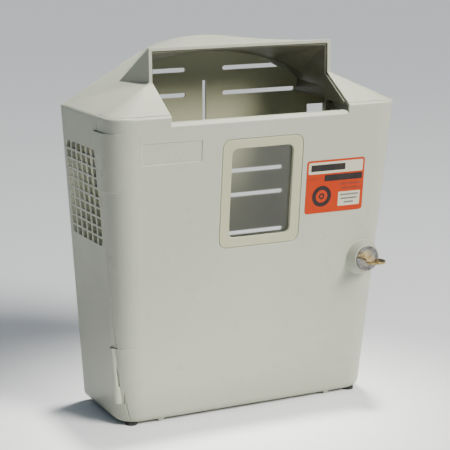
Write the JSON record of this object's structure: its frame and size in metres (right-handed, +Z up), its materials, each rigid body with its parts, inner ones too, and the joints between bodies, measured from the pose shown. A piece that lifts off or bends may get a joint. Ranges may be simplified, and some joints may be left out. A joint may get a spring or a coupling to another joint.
{
  "type": "sharps container",
  "caption": "Locking wall cabinet for a sharps container: hooded drop opening, vented sides, hinged front door with a viewing window and a cam lock.",
  "frame": {"origin": "middle of the bounding box's floor, on the plane that the feet stand on", "axes": "+X to the right seen from the front, the front faces -Y, +Z up; the back panel's rear face is the plane y = 0.076 m"},
  "size_m": [0.3068, 0.152, 0.364],
  "materials": {
    "shell_plastic": "fine moulded texture, ivory beige",
    "door_plastic": "fine moulded texture, ivory beige",
    "panel_plastic": "matte moulded, ivory beige",
    "chute_plastic": "matte moulded, darker beige",
    "window_clear": "clear polycarbonate",
    "label_film": "satin printed film, orange red",
    "lock_chrome": "polished plating",
    "lock_zinc": "plain zinc plating",
    "key_brass": "tumbled brass",
    "pin_steel": "drawn wire",
    "foot_rubber": "matt black rubber"
  },
  "bodies": {
    "root": {"body_shell": "shell_plastic", "back_panel": "panel_plastic", "back_panel_screws": "lock_zinc", "drop_chute": "chute_plastic", "strike_plate": "lock_zinc", "strike_screws": "lock_zinc", "foot_front_left": "foot_rubber", "foot_front_right": "foot_rubber", "foot_rear_left": "foot_rubber", "foot_rear_right": "foot_rubber"},
    "door": {"door": "door_plastic", "window_bezel": "panel_plastic", "window_pane": "window_clear", "pane_clips": "lock_zinc", "pane_clip_screws": "lock_zinc", "warning_label": "label_film", "hinge_pin_upper": "pin_steel", "hinge_pin_lower": "pin_steel", "lock_housing": "lock_chrome", "lock_washer": "lock_zinc", "lock_nut": "lock_zinc"},
    "lock_plug": {"lock_plug": "lock_zinc", "lock_cam": "lock_zinc", "cam_washer": "lock_zinc", "cam_screw": "lock_zinc"},
    "key": {"key": "key_brass"}
  },
  "joints": [
    {"name": "door_hinge", "type": "hinge", "parent": "root", "child": "door", "pos_m": [-0.1339, -0.0145, 0.003], "axis": [0.0552, 0, -0.9985], "range_deg": [0, 95]},
    {"name": "lock_turn", "type": "hinge", "parent": "door", "child": "lock_plug", "pos_m": [0.1197, -0.03, 0.1468], "axis": [0, -1, 0], "range_deg": [0, 90]},
    {"name": "key_slide", "type": "slide", "parent": "lock_plug", "child": "key", "axis": [0, -1, 0], "range_m": [0, 0.026]}
  ]
}
